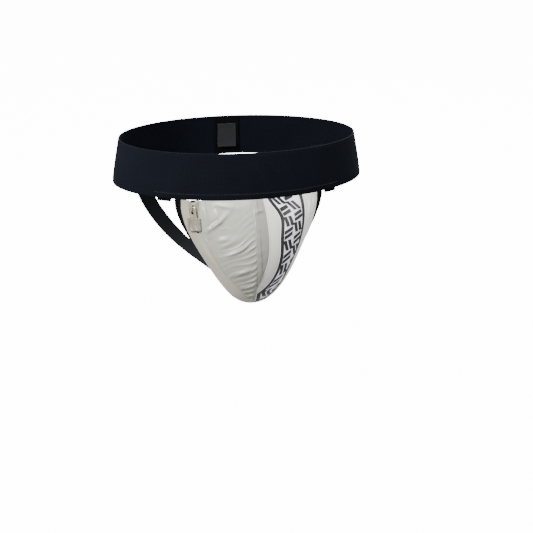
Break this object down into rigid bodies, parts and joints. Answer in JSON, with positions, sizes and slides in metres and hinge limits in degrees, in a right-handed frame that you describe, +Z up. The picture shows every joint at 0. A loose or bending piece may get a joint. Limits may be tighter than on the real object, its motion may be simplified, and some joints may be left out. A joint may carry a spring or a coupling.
{
  "type": "groin protector",
  "caption": "Groin protector: wide elastic waistband, panelled pouch with a short zip and hanging puller, leg straps, and a vented hard cup with a soft edge in a rear pocket.",
  "frame": {"origin": "middle of the waistband loop at half its height, where the wearer's hips are", "axes": "+Z up, the front of the pouch faces -Y, +X is the wearer's left"},
  "size_m": [0.332, 0.255, 0.2031],
  "materials": {
    "waistband_elastic": "ribbed woven",
    "black_tape": "plain woven",
    "black_elastic": "ribbed woven",
    "black_mesh": "knitted mesh",
    "pearl_fabric": "coated, soft sheen",
    "side_fabric": "coated, soft sheen",
    "strip_fabric": "coated, soft sheen",
    "white_fabric": "coated, soft sheen",
    "printed_fabric": "printed, smooth",
    "label_satin": "satin",
    "zip_plastic": "moulded",
    "zip_metal": "plated, satin",
    "cup_plastic": "moulded, fine texture",
    "cup_rubber": "soft moulded"
  },
  "bodies": {
    "supporter": {"waistband": "waistband_elastic", "waistband_join_patch": "black_tape", "care_label": "label_satin", "pouch_top_tape": "black_tape", "pouch_lining": "black_mesh", "pocket_back": "black_mesh", "leg_binding_left": "black_tape", "leg_binding_right": "black_tape", "leg_strap_left": "black_elastic", "leg_strap_right": "black_elastic", "strap_patch_left": "black_tape", "strap_patch_right": "black_tape", "crotch_patch": "black_tape", "zip_tape_inner": "side_fabric", "zip_tape_outer": "side_fabric", "zip_teeth_inner": "zip_plastic", "zip_teeth_outer": "zip_plastic", "zip_top_stop": "zip_plastic", "zip_bottom_stop": "zip_plastic", "zip_guard": "black_mesh", "zip_side_panel": "side_fabric", "centre_panel": "pearl_fabric", "narrow_strip": "strip_fabric", "white_insert": "white_fabric", "patterned_tape": "printed_fabric", "outer_side_panel": "white_fabric"},
    "zip_slider": {"zip_slider": "zip_metal", "slider_bail": "zip_metal"},
    "zip_puller": {"puller": "zip_metal"},
    "cup": {"cup_shell": "cup_plastic", "cup_gasket": "cup_rubber"}
  },
  "joints": [
    {"name": "zip_slide", "type": "slide", "parent": "supporter", "child": "zip_slider", "axis": [0.0696, -0.1732, -0.9824], "range_m": [0, 0.027]},
    {"name": "puller_swing", "type": "hinge", "parent": "zip_slider", "child": "zip_puller", "pos_m": [-0.07304, -0.10349, -0.03671], "axis": [-0.7555, 0.6339, -0.1653], "range_deg": [0, 150]},
    {"name": "cup_lift", "type": "slide", "parent": "supporter", "child": "cup", "axis": [0, 0.5299, 0.848], "range_m": [0, 0.15], "deforming": ["pocket_back"]}
  ]
}
